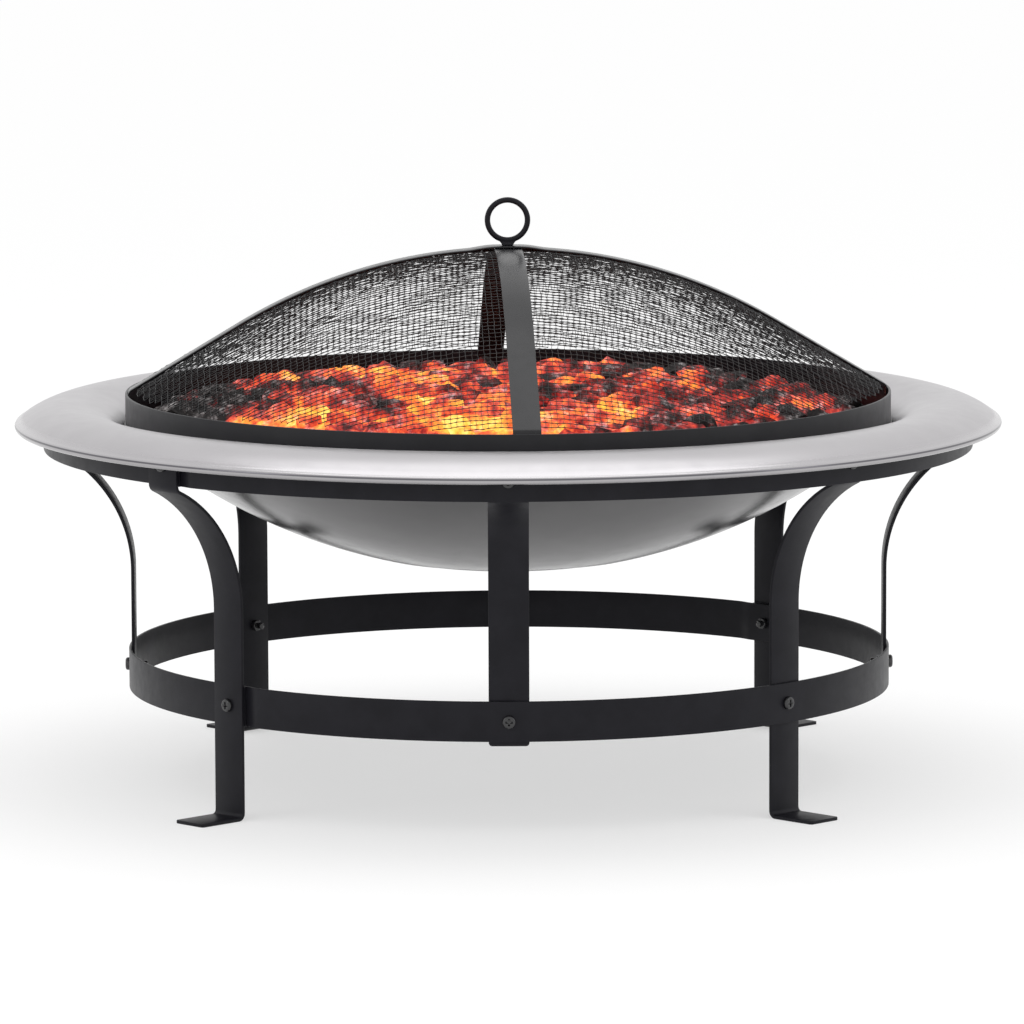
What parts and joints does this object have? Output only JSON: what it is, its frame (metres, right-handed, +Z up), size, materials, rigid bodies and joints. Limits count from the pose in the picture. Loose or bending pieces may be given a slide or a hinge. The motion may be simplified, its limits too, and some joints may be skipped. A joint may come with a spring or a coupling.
{
  "type": "fire pit with grate",
  "caption": "Round garden fire pit: a dished steel bowl on a bolted flat-bar stand, with a fuel grate, glowing fire bed and domed mesh spark guard.",
  "frame": {"origin": "on the ground under the centre of the bowl", "axes": "+Z up; -Y is the front, the side that the picture shows; +X to the viewer's right"},
  "size_m": [0.76, 0.76, 0.4475],
  "materials": {
    "stand_coating": "satin black heat-resistant powder coat",
    "fasteners": "black-coated steel, slightly glossier than the bars",
    "bowl_steel": "satin brushed stainless sheet, faintly lilac grey",
    "grate_iron": "bare steel rod gone dark grey with heat",
    "embers": "glowing charcoal and ash, red to yellow",
    "guard_coating": "satin black heat-resistant coat",
    "guard_wire": "black-coated woven wire"
  },
  "bodies": {
    "stand": {"upper_hoop_front": "stand_coating", "upper_hoop_rear": "stand_coating", "lower_hoop_front": "stand_coating", "lower_hoop_rear": "stand_coating", "leg_front_left": "stand_coating", "leg_front_right": "stand_coating", "leg_rear_left": "stand_coating", "leg_rear_right": "stand_coating", "strut_front": "stand_coating", "strut_rear": "stand_coating", "strut_left": "stand_coating", "strut_right": "stand_coating", "upper_hoop_bolts": "fasteners", "upper_hoop_nuts": "fasteners", "lower_hoop_bolts": "fasteners", "lower_hoop_nuts": "fasteners"},
    "bowl": {"bowl": "bowl_steel"},
    "grate": {"grate_rim": "grate_iron", "grate_bar_1": "grate_iron", "grate_bar_2": "grate_iron", "grate_bar_3": "grate_iron", "grate_bar_4": "grate_iron", "grate_bar_5": "grate_iron", "grate_bar_6": "grate_iron", "grate_bar_7": "grate_iron", "grate_bar_8": "grate_iron", "grate_bar_9": "grate_iron", "grate_foot_front_left": "grate_iron", "grate_foot_front_right": "grate_iron", "grate_foot_rear_left": "grate_iron", "grate_foot_rear_right": "grate_iron", "fire_bed": "embers"},
    "guard": {"guard_band": "guard_coating", "guard_mesh": "guard_wire", "guard_strap_lengthways": "guard_coating", "guard_strap_crossways": "guard_coating", "handle_ring": "guard_coating", "handle_washer": "guard_coating", "handle_nut": "fasteners"}
  },
  "joints": [
    {"name": "bowl_lift", "type": "slide", "parent": "stand", "child": "bowl", "axis": [0, 0, 1], "range_m": [0, 0.25]},
    {"name": "guard_lift", "type": "slide", "parent": "bowl", "child": "guard", "axis": [0, 0, 1], "range_m": [0, 0.3]},
    {"name": "grate_lift", "type": "slide", "parent": "bowl", "child": "grate", "axis": [0, 0, 1], "range_m": [0, 0.007]}
  ]
}
